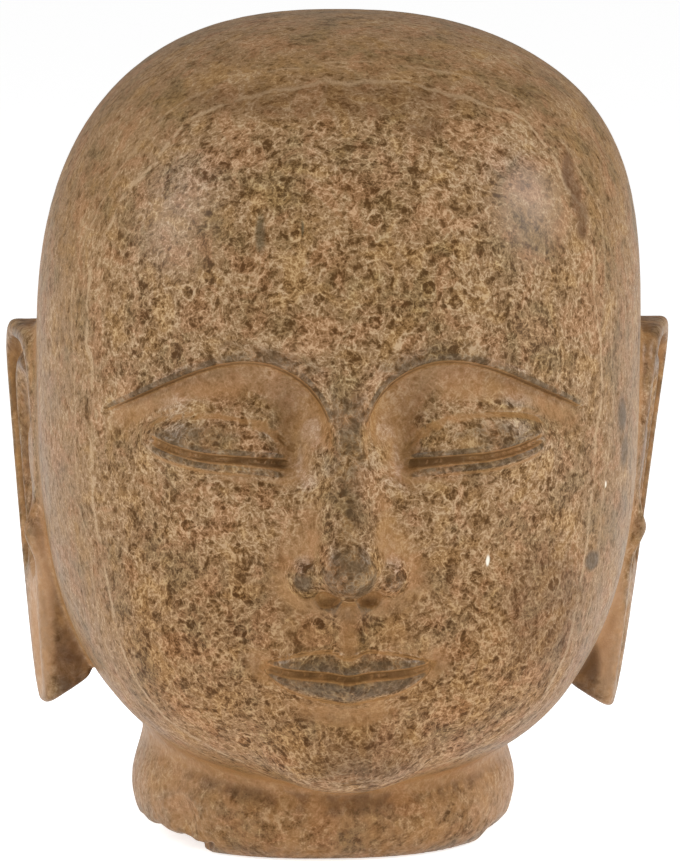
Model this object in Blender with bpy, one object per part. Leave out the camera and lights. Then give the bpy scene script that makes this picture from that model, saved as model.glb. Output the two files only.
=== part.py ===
"""Stone head of a Buddha: a shaven head with long ears on a broken neck, carved from one block.

Run it with: blender --background --python part.py
The face looks along -Y and +Z is up. The broken neck stands flat on the ground plane.
"""

import math

import bmesh
import bpy
import numpy as np
from mathutils import Matrix, Vector

# Sizes of the whole work, in metres
HEIGHT = 0.400  # crown to the underside of the neck
WIDTH = 0.330  # across the tops of the ears
DEPTH = 0.322  # tip of the nose to the back of the skull

# The carving is set out on a grid, as a carver rules up a block. This many lines cross each size
# above, so a line is a millimetre at these sizes, and every size below counts lines.
GRID = np.array((330.0, 322.0, 400.0))
LINE = np.array((WIDTH, DEPTH, HEIGHT)) / GRID

# Height of each feature. The face is three equal parts: hairline, brow, base of the nose, chin.
CROWN_Z = GRID[2]
CHIN_Z = 36.0
FACE_PART = 104.0
NOSE_BASE_Z = CHIN_Z + FACE_PART
BROW_Z = NOSE_BASE_Z + FACE_PART
EYE_Z = (CROWN_Z + CHIN_Z) / 2 - 4.0
MOUTH_Z = NOSE_BASE_Z - FACE_PART / 3

# Places from front to back
NOSE_TIP_Y = -GRID[1] / 2
BACK_Y = GRID[1] / 2
FOREHEAD_Y = NOSE_TIP_Y + 17.0

# The skull is an egg with full sides. A fullness of 2 is round, and more is squarer.
SKULL_WIDTH = 291.0
WIDEST_Z = 236.0
SKULL_Y = 8.0
CROWN_FULLNESS = 2.5
JAW_FULLNESS = 2.95
PLAN_FULLNESS = 2.3
# The crown is this much fuller at the figure's left, which is +X
SHOULDER = 7.8
SHOULDER_Z = 357.0
SHOULDER_ABOVE = 35.0
SHOULDER_BELOW = 65.0
SHOULDER_X = 90.0  # it grows from the middle to its full depth here

# Round masses, each a centre and three half sizes
CHEEK = ((56.0, NOSE_TIP_Y + 88.0, NOSE_BASE_Z - 8.0), (52.0, 54.0, 52.0))
JAW = ((0.0, NOSE_TIP_Y + 110.0, MOUTH_Z + 1.0), (110.0, 86.0, 70.0))
MUZZLE = ((0.0, NOSE_TIP_Y + 64.0, MOUTH_Z + 7.0), (44.0, 44.0, 36.0))
CHIN = ((0.0, NOSE_TIP_Y + 63.0, CHIN_Z + 30.0), (36.0, 31.0, 24.0))
JAW_FILLET = 24.0
CHIN_FILLET = 18.0
MUZZLE_FILLET = 16.0
FACE_FILLET = 14.0

# The eyes: a hollow under each brow, deepest by the nose, and a round lidded eye in it
EYE_WIDTH = SKULL_WIDTH / 5
EYE_X = EYE_WIDTH
SOCKET = ((EYE_X - 6.0, FOREHEAD_Y - 6.0, EYE_Z + 8.0), (46.0, 17.0, 25.0))
INNER_CORNER = ((25.0, FOREHEAD_Y - 2.0, EYE_Z + 2.0), (13.0, 17.0, 22.0))
EYEBALL = ((EYE_X, FOREHEAD_Y + 32.5, EYE_Z - 3.0), (34.0, 27.0, 23.0))
SOCKET_FILLET = 16.0
CORNER_FILLET = 12.0
EYE_FILLET = 11.0

# The edge of the lowered lid: its half length, and the tilt, wave and sag of its line
LID_HALF = EYE_WIDTH / 2 + 4.0
SLIT_Z = EYE_Z - 9.0
SLIT_TILT = 2.4
SLIT_WAVE = 3.4
SLIT_SAG = 2.0
# Lines cut or raised along it: height over the slit, half width and rise
LID_LINES = ((0.0, 2.6, -2.2), (3.6, 3.4, 1.1), (-4.4, 3.6, 1.3), (-9.5, 4.5, -0.7))
LID_END = 0.22  # share of the half length over which the lines die out
FOLD_RISE = 17.0
FOLD_GAP = 3.0
FOLD_HALF = 2.4
FOLD_DEPTH = 1.3

# The brow: an even arch with a crisp lower edge
BROW_START_X = 9.0
BROW_LENGTH = 106.0
BROW_START_DROP = 22.0
BROW_RISE = 30.0
BROW_CUT = 3.6
BROW_CUT_FADE = 26.0
BROW_RIDGE = 0.9

# The nose
BRIDGE_RADIUS = 8.0
TIP_RADIUS = 13.0
ROOT_RADIUS = 15.0
BASE_RADIUS = 22.0
TIP = ((0.0, NOSE_TIP_Y + 15.5, NOSE_BASE_Z + 15.0), (14.0, 15.5, 13.0))
WING = ((18.0, NOSE_TIP_Y + 26.0, NOSE_BASE_Z + 11.0), (10.0, 14.0, 10.0))
NOSTRIL = ((9.5, NOSE_TIP_Y + 17.0, NOSE_BASE_Z + 0.5), (5.2, 7.0, 4.6))
ROOT_FILLET = 12.0
BRIDGE_FILLET = 7.0
WING_FILLET = 4.5

# The closed lips
MOUTH_HALF = 39.0
UPPER_LIP_HEIGHT = 12.5
UPPER_LIP_RISE = 4.4
LOWER_LIP_HEIGHT = 13.5
LOWER_LIP_RISE = 5.2
BOW_DIP = 2.6
CORNER_LIFT = 2.6
SEAM_DEPTH = 3.0
MOUTH_CORNER_DEPTH = 2.6
LIP_GROOVE_DEPTH = 1.6
CHIN_HOLLOW_DEPTH = 3.0
CHIN_HOLLOW_DROP = 20.0

# The relief above lies on the front of the head, and dies out this far back
RELIEF_BACK_Y = -40.0
RELIEF_FADE = 30.0

# The ears: they flare outwards to the back, and their tips stand further in than their tops
EAR_TOP_Z = 246.0
EAR_TIP_Z = 56.0
EAR_TIP_DROP = 2.2  # the left ear's tip is this much lower, and the right one's this much higher
EAR_Y = 24.0
EAR_MIDDLE_Z = (EAR_TOP_Z + EAR_TIP_Z - EAR_TIP_DROP) / 2
EAR_HALF_LENGTH = EAR_TOP_Z - EAR_MIDDLE_Z
EAR_THICK = 24.0
EAR_ROUNDING = 5.0
EAR_RIM_X_TOP = GRID[0] / 2 + 0.48 * EAR_ROUNDING  # the rounding takes the rim back to the grid's edge
EAR_RIM_X_TIP = 143.0
EAR_TOP_SHIFT = 2.7  # how far both tops lean to the figure's left
EAR_TIP_SHIFT = 4.3  # how far both tips lean to the figure's right, which is -X
EAR_BOW = 1.6  # how far the rims bow outwards between top and tip
EAR_FLARE = math.radians(11.0)
EAR_LEAN = math.radians(6.0)
LOBE_SLANT = 0.7  # rise of the lobe's lower edge for each line inwards
# Hollows of the ear's face: centre back and up, two half sizes, depth, reach and softness
EAR_BOWL = (-4.0, 2.0, 15.5, 26.0, 9.0, 1.15, 0.5)
EAR_PIT = (-3.0, 47.0, 13.0, 15.0, 2.6, 1.1, 0.7)
LOBE_DIP = (-2.0, -58.0, 10.5, 27.0, 2.6, 1.1, 0.8)
GUTTER_DEPTH = 6.0
RIM_WIDTH = 6.5
INNER_FOLD_RISE = 4.6
INNER_FOLD_IN = 19.0
FLAP_RISE = 5.5

# The neck: an oval stub that swells a little over its broken foot
NECK_HALF_WIDTH = 87.0
NECK_HALF_DEPTH = 81.0
NECK_FULLNESS = 2.3
NECK_X = -7.0
NECK_Y = 12.0
NECK_TOP_Z = 130.0
NECK_SWELL = 7.0
NECK_SWELL_Z = 24.0
NECK_SWELL_HEIGHT = 20.0
FOOT_EASE = 14.0
FOOT_BELOW = 1.5  # the eased foot reaches this far under the ground plane, where it is sawn off

# Flakes broken from the foot: one wide step at the figure's right, and three scooped chips
FLAKE_X = -68.0
FLAKE_TOP = 8.0
FLAKE_BACK_Y = 34.0
FRONT_SCAR = ((-86.0, -58.0, 14.0), (17.0, 13.0, 21.0))
LEFT_CHIP = ((84.0, -30.0, -2.0), (16.0, 30.0, 13.0))
REAR_CHIP = ((34.0, 96.0, -3.0), (24.0, 14.0, 12.0))

# Fineness of the carved surface
ROUGH_VOXEL = 4.0
BLOCK_VOXEL = 3.0
TRIANGLES = 9400


def softer(a, b, soft):
    """The two forms joined, with a fillet about soft wide."""
    near = np.maximum(soft - np.abs(a - b), 0.0) / soft
    return np.minimum(a, b) - near * near * soft / 4


def cut(form, tool, soft):
    """The form with the tool taken out of it, and its edge eased by soft."""
    return -softer(-form, tool, soft)


def both(a, b, soft):
    """What lies in both forms, with its edge eased by soft."""
    return -softer(-a, -b, soft)


def ease(t):
    """0 below 0, 1 above 1, and a smooth rise between."""
    t = np.clip(t, 0.0, 1.0)
    return t * t * (3 - 2 * t)


def hump(t):
    """1 at 0, falling smoothly to 0 at 1 on either side."""
    return ease(1 - np.abs(t))


def bell(t):
    """1 at 0, falling away for ever, and about a third at 1."""
    return np.exp(-(t**2))


def ellipsoid(p, centre, radii):
    """How far each point is outside an egg with these half sizes."""
    q = (p - np.array(centre)) / np.array(radii)
    length = np.linalg.norm(q, axis=1)
    slope = np.linalg.norm(q / np.array(radii), axis=1)
    return length * (length - 1) / np.maximum(slope, 1e-6)


def round_bar(p, start, end, start_radius, end_radius):
    """A bar between two points, whose radius changes evenly along it."""
    start, end = np.array(start), np.array(end)
    along = end - start
    t = np.clip((p - start) @ along / (along @ along), 0.0, 1.0)
    gap = np.linalg.norm(p - start - t[:, None] * along, axis=1)
    return gap - (start_radius + (end_radius - start_radius) * t)


def skull(p):
    """The egg of the head, before the face is carved."""
    q = p - np.array((0.0, SKULL_Y, WIDEST_Z))
    over = p[:, 2] - SHOULDER_Z
    level = bell(over / np.where(over > 0, SHOULDER_ABOVE, SHOULDER_BELOW))
    q[:, 0] -= SHOULDER * level * ease(q[:, 0] / SHOULDER_X)
    side = np.abs(q[:, 0]) / (SKULL_WIDTH / 2)
    deep = np.abs(q[:, 1]) / np.where(q[:, 1] < 0, SKULL_Y - FOREHEAD_Y, BACK_Y - SKULL_Y)
    tall = np.abs(q[:, 2]) / np.where(q[:, 2] > 0, CROWN_Z - WIDEST_Z, WIDEST_Z - CHIN_Z)
    plan = (side**PLAN_FULLNESS + deep**PLAN_FULLNESS) ** (1 / PLAN_FULLNESS)
    fullness = np.where(q[:, 2] > 0, CROWN_FULLNESS, JAW_FULLNESS)
    share = (plan**fullness + tall**fullness) ** (1 / fullness)
    return np.linalg.norm(q, axis=1) * (1 - 1 / np.maximum(share, 1e-3))


def full_cheeks(p, half):
    """The round masses of the cheeks, the mouth and the chin."""
    sides = softer(ellipsoid(half, *CHEEK), ellipsoid(p, *JAW), JAW_FILLET)
    middle = softer(ellipsoid(p, *MUZZLE), ellipsoid(p, *CHIN), CHIN_FILLET)
    return softer(sides, middle, MUZZLE_FILLET)


def sockets(form, half):
    """The hollows under the brows, with the lidded eyes in them."""
    form = cut(form, ellipsoid(half, *SOCKET), SOCKET_FILLET)
    form = cut(form, ellipsoid(half, *INNER_CORNER), CORNER_FILLET)
    return softer(form, ellipsoid(half, *EYEBALL), EYE_FILLET)


def nose(form, half):
    """A straight nose with a round tip and wings."""
    y = NOSE_TIP_Y
    ridge_ends = ((0.0, y + 26.0, BROW_Z - 8.0), (0.0, y + 15.5, NOSE_BASE_Z + 17.0))
    ridge = round_bar(half, *ridge_ends, BRIDGE_RADIUS, TIP_RADIUS)
    root_ends = ((0.0, y + 40.0, BROW_Z - 12.0), (3.0, y + 34.0, NOSE_BASE_Z + 18.0))
    root = round_bar(half, *root_ends, ROOT_RADIUS, BASE_RADIUS)
    form = softer(form, root, ROOT_FILLET)
    form = softer(form, softer(ridge, ellipsoid(half, *TIP), 5.0), BRIDGE_FILLET)
    form = softer(form, ellipsoid(half, *WING), WING_FILLET)
    return cut(form, ellipsoid(half, *NOSTRIL), 2.5)


def brow_line(x):
    """Height of the brow's edge: an arch that peaks nearer the nose than the temple."""
    t = np.clip((x - BROW_START_X) / BROW_LENGTH, 0.0, 1.0)
    arch = BROW_RISE * np.sin(math.pi * t**0.72) * (1 - 0.25 * t)
    return BROW_Z - BROW_START_DROP + arch - 2.0 * t


def brow_cut(x, z):
    """How deep the brow's edge is undercut: a crisp step that fades over the lid."""
    below = brow_line(x) - z
    far_x = BROW_START_X + BROW_LENGTH + 5.0
    across = ease((x - 4.0) / 10.0) * ease((far_x - x) / 26.0)
    step = BROW_CUT * ease(below / 3.0 + 0.5) * (1 - ease((below - 2.0) / BROW_CUT_FADE))
    return (step - BROW_RIDGE * hump((below + 3.0) / 3.5)) * across


def lid_carving(x, z):
    """The edge of the lowered lid, the lower lid under it and the fold above it."""
    t = (x - EYE_X) / LID_HALF
    slit_z = SLIT_Z + SLIT_TILT * t + SLIT_WAVE * t * np.abs(t) + SLIT_SAG * t * t
    up = z - slit_z
    lines = sum(rise * hump((up - height) / half) for height, half, rise in LID_LINES)
    arch = np.sqrt(np.clip(1 - (t * 0.96) ** 2, 0.0, 1.0)) ** 1.4
    fold = -FOLD_DEPTH * hump((up - FOLD_RISE * arch - FOLD_GAP) / FOLD_HALF)
    return (lines + fold) * ease((1.04 - np.abs(t)) / LID_END)


def mouth_line(x):
    """Height of the seam of the lips, which dips in the middle and lifts at the corners."""
    t = x / MOUTH_HALF
    return MOUTH_Z - 1.6 * bell(x / 7.0) + CORNER_LIFT * np.minimum(t, 1.2) ** 4


def lip_carving(x, z):
    """Full closed lips with a bow, the groove above them and the hollow below."""
    t = x / MOUTH_HALF
    up = z - mouth_line(x)
    round_end = np.sqrt(np.clip(1 - t * t, 0.0, 1.0))
    upper_height = np.maximum(UPPER_LIP_HEIGHT * round_end**1.3 - BOW_DIP * bell(x / 5.5), 0.3)
    lower_height = np.maximum(LOWER_LIP_HEIGHT * round_end**1.2, 0.3)
    upper = np.clip(up / upper_height, 0.0, 1.0)
    lower = np.clip(-up / lower_height, 0.0, 1.0)
    upper_lip = UPPER_LIP_RISE * np.sqrt(np.sin(math.pi * (0.30 + 0.70 * upper)).clip(0))
    lower_lip = LOWER_LIP_RISE * np.sqrt(np.sin(math.pi * (0.34 + 0.66 * lower)).clip(0))
    lips = lower_lip + (upper_lip - lower_lip) * ease(up / 2.4 + 0.5)
    seam = -SEAM_DEPTH * hump(up / 3.0) * ease((1.06 - t) / 0.1)
    corner = -MOUTH_CORNER_DEPTH * bell((x - MOUTH_HALF - 1.0) / 6.5) * bell(up / 7.0)
    groove = -LIP_GROOVE_DEPTH * bell(x / 3.6) + 0.9 * bell((x - 7.0) / 3.0)
    groove = groove * ease((z - mouth_line(0.0) - 9.0) / 4.0) * ease((NOSE_BASE_Z + 1.0 - z) / 5.0)
    hollow = -CHIN_HOLLOW_DEPTH * bell(x / 22.0) * bell((up + CHIN_HOLLOW_DROP) / 6.0)
    return lips * round_end**0.5 + seam + corner + groove + hollow


def ear_back_edge(level):
    """How far the ear reaches back from its own line, from the tip at level 0 to the top at 1."""
    return 15.0 + 25.0 * ease(level / 0.75)


def ear_front_edge(level):
    """The ear's front edge, before its own line."""
    return -19.0 - 14.0 * ease((level - 0.15) / 0.7)


def ear_tip_x(side):
    """How far out the ear's tip stands on the side -1 or 1."""
    return EAR_RIM_X_TIP - EAR_TIP_SHIFT * side


def ear_face_x(level, u, side):
    """How far out the ear's face stands, u behind the ear's own line."""
    top_x = EAR_RIM_X_TOP + EAR_TOP_SHIFT * side
    rim_x = ear_tip_x(side) + (top_x - ear_tip_x(side)) * level + EAR_BOW * 4 * level * (1 - level)
    return rim_x - math.tan(EAR_FLARE) * (ear_back_edge(level) - u)


def ear_hollow(u, v, hollow):
    """Depth of an oval hollow in the ear's face."""
    middle_u, middle_v, half_u, half_v, depth, reach, soft = hollow
    gap = np.sqrt(((u - middle_u) / half_u) ** 2 + ((v - middle_v) / half_v) ** 2)
    return depth * ease((reach - gap) / soft)


def ear(p, side):
    """One long ear with its rim, inner fold, hollow and heavy lobe, seen from its own side."""
    v = p[:, 2] - EAR_MIDDLE_Z
    u = p[:, 1] - EAR_Y - v * math.tan(EAR_LEAN)
    level = np.clip(v / (2 * EAR_HALF_LENGTH) + 0.5, 0.0, 1.0)
    edge = both(u - ear_back_edge(level), ear_front_edge(level) - u, 8.0)
    edge = both(edge, np.abs(v) - EAR_HALF_LENGTH, 22.0)
    inward = -edge
    upper = ease((v + 30.0) / 22.0)
    behind = np.maximum(ease((u + 14.0) / 12.0), ease((v - 44.0) / 14.0))
    gutter = GUTTER_DEPTH * ease((inward - RIM_WIDTH) / 4.0) * upper * behind
    fold = INNER_FOLD_RISE * hump((inward - INNER_FOLD_IN) / 7.5) * upper * ease((u + 12.0) / 14.0)
    flap = FLAP_RISE * bell((u + 22.0) / 6.5) * bell((v + 2.0) / 11.0)
    hollows = sum(ear_hollow(u, v, hollow) for hollow in (EAR_BOWL, EAR_PIT, LOBE_DIP))
    face_x = ear_face_x(level, u, side)
    face = (p[:, 0] - face_x + gutter - fold + hollows - flap) * math.cos(EAR_FLARE)
    slab = both(edge, face, EAR_ROUNDING)
    slab = both(slab, face_x - EAR_THICK - p[:, 0], 4.0)
    tip_z = EAR_TIP_Z - EAR_TIP_DROP * side
    lobe_edge = tip_z + LOBE_SLANT * (ear_tip_x(side) - p[:, 0]) - p[:, 2]
    return both(slab, lobe_edge / math.hypot(1.0, LOBE_SLANT), 4.0)


def neck(p):
    """The stub of the neck: an oval barrel with an eased foot."""
    z = p[:, 2]
    swell = NECK_SWELL * bell((z - NECK_SWELL_Z) / NECK_SWELL_HEIGHT)
    across = np.abs(p[:, 0] - NECK_X) / (NECK_HALF_WIDTH + swell)
    deep = np.abs(p[:, 1] - NECK_Y) / (NECK_HALF_DEPTH + swell)
    share = (across**NECK_FULLNESS + deep**NECK_FULLNESS) ** (1 / NECK_FULLNESS)
    barrel = both((share - 1) * NECK_HALF_DEPTH, -z - FOOT_BELOW, FOOT_EASE)
    return both(barrel, z - NECK_TOP_Z, 10.0)


def chips(form, p):
    """Flakes broken from the foot of the neck."""
    x, y, z = p.T
    ragged = 1.5 * np.sin(0.21 * x + 0.13 * y + 0.8)
    ragged += 0.8 * np.sin(0.27 * y - 0.19 * x) + 0.5 * np.sin(0.49 * x + 0.36 * y)
    wall = x - FLAKE_X + 0.10 * y + ragged
    ceiling = z - FLAKE_TOP - ragged - 0.08 * (y + 60.0)
    step = both(both(wall, ceiling, 2.0), y - FLAKE_BACK_Y - ragged, 6.0)
    form = cut(form, step, 1.5)
    for chip, soft in ((FRONT_SCAR, 2.0), (LEFT_CHIP, 3.0), (REAR_CHIP, 2.0)):
        form = cut(form, ellipsoid(p, *chip), soft)
    return form


def carving(p):
    """How far each point of the grid is outside the finished carving."""
    half = p.copy()
    half[:, 0] = np.abs(p[:, 0])
    x, z = half[:, 0], half[:, 2]
    face = softer(skull(p), full_cheeks(p, half), FACE_FILLET)
    face = nose(sockets(face, half), half)
    front = ease((RELIEF_BACK_Y - p[:, 1]) / RELIEF_FADE)
    relief = lid_carving(x, z) + lip_carving(x, z) - brow_cut(x, z)
    head = softer(face - relief * front, ear(half, np.sign(p[:, 0])), 5.0)
    return chips(softer(head, neck(p), 9.0), p)


def slope(p, step=0.25):
    """Value and gradient of the carving at each point."""
    here = carving(p)
    rise = np.empty_like(p)
    for axis in range(3):
        aside = p.copy()
        aside[:, axis] += step
        rise[:, axis] = (carving(aside) - here) / step
    return here, rise


def rough_ear(rough, side):
    """A slab of stone to the outline of one ear."""
    levels = np.linspace(0.02, 0.98, 17)
    outline = [(level, ear_back_edge(level)) for level in levels]
    outline += [(level, ear_front_edge(level)) for level in levels[::-1]]
    corners = []
    for level, u in outline:
        v = (level - 0.5) * 2 * EAR_HALF_LENGTH
        y = EAR_Y + u + v * math.tan(EAR_LEAN)
        corners.append(rough.verts.new((side * ear_face_x(level, u, side), y, EAR_MIDDLE_Z + v)))
    face = rough.faces.new(corners if side > 0 else corners[::-1])
    pulled = bmesh.ops.extrude_face_region(rough, geom=[face], use_keep_orig=True)
    moved = [part for part in pulled["geom"] if isinstance(part, bmesh.types.BMVert)]
    bmesh.ops.translate(rough, verts=moved, vec=(-side * EAR_THICK, 0.0, 0.0))
    bmesh.ops.recalc_face_normals(rough, faces=rough.faces)


def rough_ball(rough, centre, radii):
    """A ball of stone with these half sizes."""
    place = Matrix.Translation(centre) @ Matrix.Diagonal(radii).to_4x4()
    bmesh.ops.create_uvsphere(rough, u_segments=48, v_segments=32, radius=1.0, matrix=place)


def rough_block():
    """The block as first hewn: balls for the head and the mouth, a drum for the neck and two slabs."""
    rough = bmesh.new()
    middle_z = (CROWN_Z + CHIN_Z) / 2
    skull_size = (SKULL_WIDTH / 2, (BACK_Y - FOREHEAD_Y) / 2, (CROWN_Z - CHIN_Z) / 2)
    rough_ball(rough, (0.0, SKULL_Y, middle_z), Vector(skull_size))
    rough_ball(rough, (0.0, NOSE_TIP_Y + 55.0, NOSE_BASE_Z - 22.0), Vector((60.0, 50.0, 78.0)))
    drum = Matrix.Translation((NECK_X, NECK_Y, NECK_TOP_Z / 2))
    bmesh.ops.create_cone(
        rough,
        cap_ends=True,
        segments=48,
        radius1=NECK_HALF_WIDTH,
        radius2=NECK_HALF_DEPTH,
        depth=NECK_TOP_Z,
        matrix=drum,
    )
    for side in (-1, 1):
        rough_ear(rough, side)
    mesh = bpy.data.meshes.new("rough_block")
    rough.to_mesh(mesh)
    rough.free()
    return mesh


def evaluated_mesh(obj):
    """The object's mesh with its modifiers applied."""
    graph = bpy.context.evaluated_depsgraph_get()
    return bpy.data.meshes.new_from_object(obj.evaluated_get(graph))


def points_of(mesh):
    """The mesh's points, one to a row."""
    flat = np.empty(len(mesh.vertices) * 3, np.float32)
    mesh.vertices.foreach_get("co", flat)
    return flat.reshape(-1, 3).astype(float)


def set_points(mesh, points):
    """Puts each of the mesh's points at its row."""
    mesh.vertices.foreach_set("co", points.astype(np.float32).ravel())
    mesh.update()


def settle(points, rounds, longest_move=8.0):
    """Moves points to the carved surface along its slope."""
    for _ in range(rounds):
        value, rise = slope(points)
        length = np.maximum((rise * rise).sum(axis=1), 0.2)
        move = rise * (value / length)[:, None]
        far = np.linalg.norm(move, axis=1)
        move *= (np.minimum(far, longest_move) / np.maximum(far, 1e-9))[:, None]
        points = points - move
    return points


def evened(mesh, points):
    """Each point halfway to the middle of its neighbours, which spaces a mesh out."""
    flat = np.empty(len(mesh.edges) * 2, np.int32)
    mesh.edges.foreach_get("vertices", flat)
    a, b = flat.reshape(-1, 2).T
    total, count = np.zeros_like(points), np.zeros(len(points))
    for near, far in ((a, b), (b, a)):
        np.add.at(total, near, points[far])
        np.add.at(count, near, 1.0)
    return 0.5 * points + 0.5 * total / count[:, None]


def carve(mesh, passes=3):
    """Brings the mesh to the carved surface, with its points evenly spaced."""
    points = settle(points_of(mesh), 6)
    for _ in range(passes):
        points = settle(evened(mesh, points), 2)
    set_points(mesh, points)


def carved_block():
    """The rough block, carved once coarsely and then finely."""
    block = bpy.data.objects.new("buddha_head", rough_block())
    bpy.context.scene.collection.objects.link(block)
    for voxel in (ROUGH_VOXEL, BLOCK_VOXEL):
        remesh = block.modifiers.new("remesh", "REMESH")
        remesh.mode = "VOXEL"
        remesh.voxel_size = voxel
        hewn = evaluated_mesh(block)
        block.modifiers.clear()
        block.data = hewn
        carve(hewn)
    return block


def thinned(block):
    """The carved mesh with its triangles kept where the form turns."""
    decimate = block.modifiers.new("thin", "DECIMATE")
    decimate.ratio = TRIANGLES / (2 * len(block.data.polygons))
    mesh = evaluated_mesh(block)
    block.modifiers.clear()
    return mesh


def stood_flat(mesh):
    """The mesh sawn off level at the ground, so that the head stands on a true face."""
    solid = bmesh.new()
    solid.from_mesh(mesh)
    whole = solid.verts[:] + solid.edges[:] + solid.faces[:]
    sawn = bmesh.ops.bisect_plane(
        solid, geom=whole, dist=0.05, plane_co=(0, 0, 0), plane_no=(0, 0, 1), clear_inner=True
    )
    rim = [part for part in sawn["geom_cut"] if isinstance(part, bmesh.types.BMEdge)]
    bmesh.ops.contextual_create(solid, geom=rim)
    bmesh.ops.triangulate(solid, faces=solid.faces)
    bmesh.ops.recalc_face_normals(solid, faces=solid.faces)
    solid.to_mesh(mesh)
    solid.free()


def sized(mesh):
    """The grid's lines turned into metres, with the middle of the head over the origin."""
    points = points_of(mesh) * LINE
    middle = (points.min(axis=0) + points.max(axis=0)) / 2
    points[:, :2] -= middle[:2]
    set_points(mesh, points)


def stone():
    """Dark stone under an earthy tan skin."""
    material = bpy.data.materials.new("stone")
    material.use_nodes = True
    shader = material.node_tree.nodes["Principled BSDF"]
    shader.inputs["Base Color"].default_value = (0.31, 0.19, 0.095, 1.0)
    shader.inputs["Roughness"].default_value = 0.62
    shader.inputs["Metallic"].default_value = 0.0
    return material


def main():
    """Makes the head in an emptied scene."""
    for obj in list(bpy.data.objects):
        bpy.data.objects.remove(obj)
    head = carved_block()
    head.data = thinned(head)
    stood_flat(head.data)
    sized(head.data)
    head.data.name = head.name
    head.data.materials.append(stone())
    head.data.shade_smooth()


if __name__ == "__main__":
    main()
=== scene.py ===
import math
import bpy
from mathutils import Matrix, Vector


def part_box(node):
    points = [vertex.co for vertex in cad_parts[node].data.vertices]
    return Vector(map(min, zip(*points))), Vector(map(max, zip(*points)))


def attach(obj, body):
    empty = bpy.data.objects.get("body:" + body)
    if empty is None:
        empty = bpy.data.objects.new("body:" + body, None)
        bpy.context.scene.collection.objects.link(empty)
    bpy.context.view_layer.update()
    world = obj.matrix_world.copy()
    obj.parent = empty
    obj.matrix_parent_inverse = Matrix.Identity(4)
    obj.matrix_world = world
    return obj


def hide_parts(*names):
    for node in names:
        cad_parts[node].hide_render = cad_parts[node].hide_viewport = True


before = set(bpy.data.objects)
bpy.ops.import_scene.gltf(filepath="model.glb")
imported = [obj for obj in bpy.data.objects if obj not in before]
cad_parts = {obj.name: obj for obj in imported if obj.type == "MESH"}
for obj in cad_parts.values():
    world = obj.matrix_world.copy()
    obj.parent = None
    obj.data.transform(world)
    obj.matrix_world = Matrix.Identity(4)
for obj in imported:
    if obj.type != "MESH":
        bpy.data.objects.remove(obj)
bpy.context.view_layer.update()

from types import SimpleNamespace

import bmesh
import bpy
import numpy as np
from mathutils import Vector, noise

# The carving is ruled on a grid of lines, a millimetre apart on a head 400 mm tall.
# The face is three equal parts: hairline, brow, base of the nose, chin.
grid = {"width": 330.0, "depth": 322.0, "height": 400.0}
noseTipY = -grid["depth"] / 2
backY = grid["depth"] / 2
foreheadY = noseTipY + 17.0
chinZ = 36.0
facePart = 104.0
noseBaseZ = chinZ + facePart
browZ = noseBaseZ + facePart
eyeZ = (grid["height"] + chinZ) / 2 - 4.0
mouthZ = noseBaseZ - facePart / 3


def softer(a, b, soft):  # the two forms joined, with a fillet
    near = np.maximum(soft - np.abs(a - b), 0.0) / soft
    return np.minimum(a, b) - near * near * soft / 4


def cut(form, tool, soft):  # the form with the tool taken out of it
    return -softer(-form, tool, soft)


def both(a, b, soft):  # what lies in both forms
    return -softer(-a, -b, soft)


def ease(t):  # 0 below 0, 1 above 1, smooth between
    t = np.clip(t, 0.0, 1.0)
    return t * t * (3 - 2 * t)


def hump(t):  # 1 at 0, falling to 0 at 1 on either side
    return ease(1 - np.abs(t))


def bell(t):
    return np.exp(-(t**2))


def egg(p, centre, radii):  # how far each point is outside an egg
    q = (p - np.array(centre)) / np.array(radii)
    length = np.linalg.norm(q, axis=1)
    steep = np.linalg.norm(q / np.array(radii), axis=1)
    return length * (length - 1) / np.maximum(steep, 1e-6)


def roundBar(p, start, end, startRadius, endRadius):
    start, end = np.array(start), np.array(end)
    along = end - start
    t = np.clip((p - start) @ along / (along @ along), 0.0, 1.0)
    gap = np.linalg.norm(p - start - t[:, None] * along, axis=1)
    return gap - (startRadius + (endRadius - startRadius) * t)


skullShape = {
    "width": 291.0,
    "widestZ": 236.0,
    "middleY": 8.0,
    "crownFullness": 2.5,  # 2 is round, more is squarer
    "jawFullness": 2.95,
    "planFullness": 2.3,
    "shoulder": 7.8,  # how much fuller the crown is on one side
    "shoulderZ": 357.0,
    "shoulderAbove": 35.0,
    "shoulderBelow": 65.0,
    "shoulderX": 90.0,
}


def skull(p):
    s = skullShape
    q = p - np.array((0.0, s["middleY"], s["widestZ"]))
    over = p[:, 2] - s["shoulderZ"]
    level = bell(over / np.where(over > 0, s["shoulderAbove"], s["shoulderBelow"]))
    q[:, 0] -= s["shoulder"] * level * ease(q[:, 0] / s["shoulderX"])
    above = grid["height"] - s["widestZ"]
    below = s["widestZ"] - chinZ
    side = np.abs(q[:, 0]) / (s["width"] / 2)
    deep = np.abs(q[:, 1]) / np.where(q[:, 1] < 0, s["middleY"] - foreheadY, backY - s["middleY"])
    tall = np.abs(q[:, 2]) / np.where(q[:, 2] > 0, above, below)
    plan = (side ** s["planFullness"] + deep ** s["planFullness"]) ** (1 / s["planFullness"])
    fullness = np.where(q[:, 2] > 0, s["crownFullness"], s["jawFullness"])
    share = (plan**fullness + tall**fullness) ** (1 / fullness)
    return np.linalg.norm(q, axis=1) * (1 - 1 / np.maximum(share, 1e-3))


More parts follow.
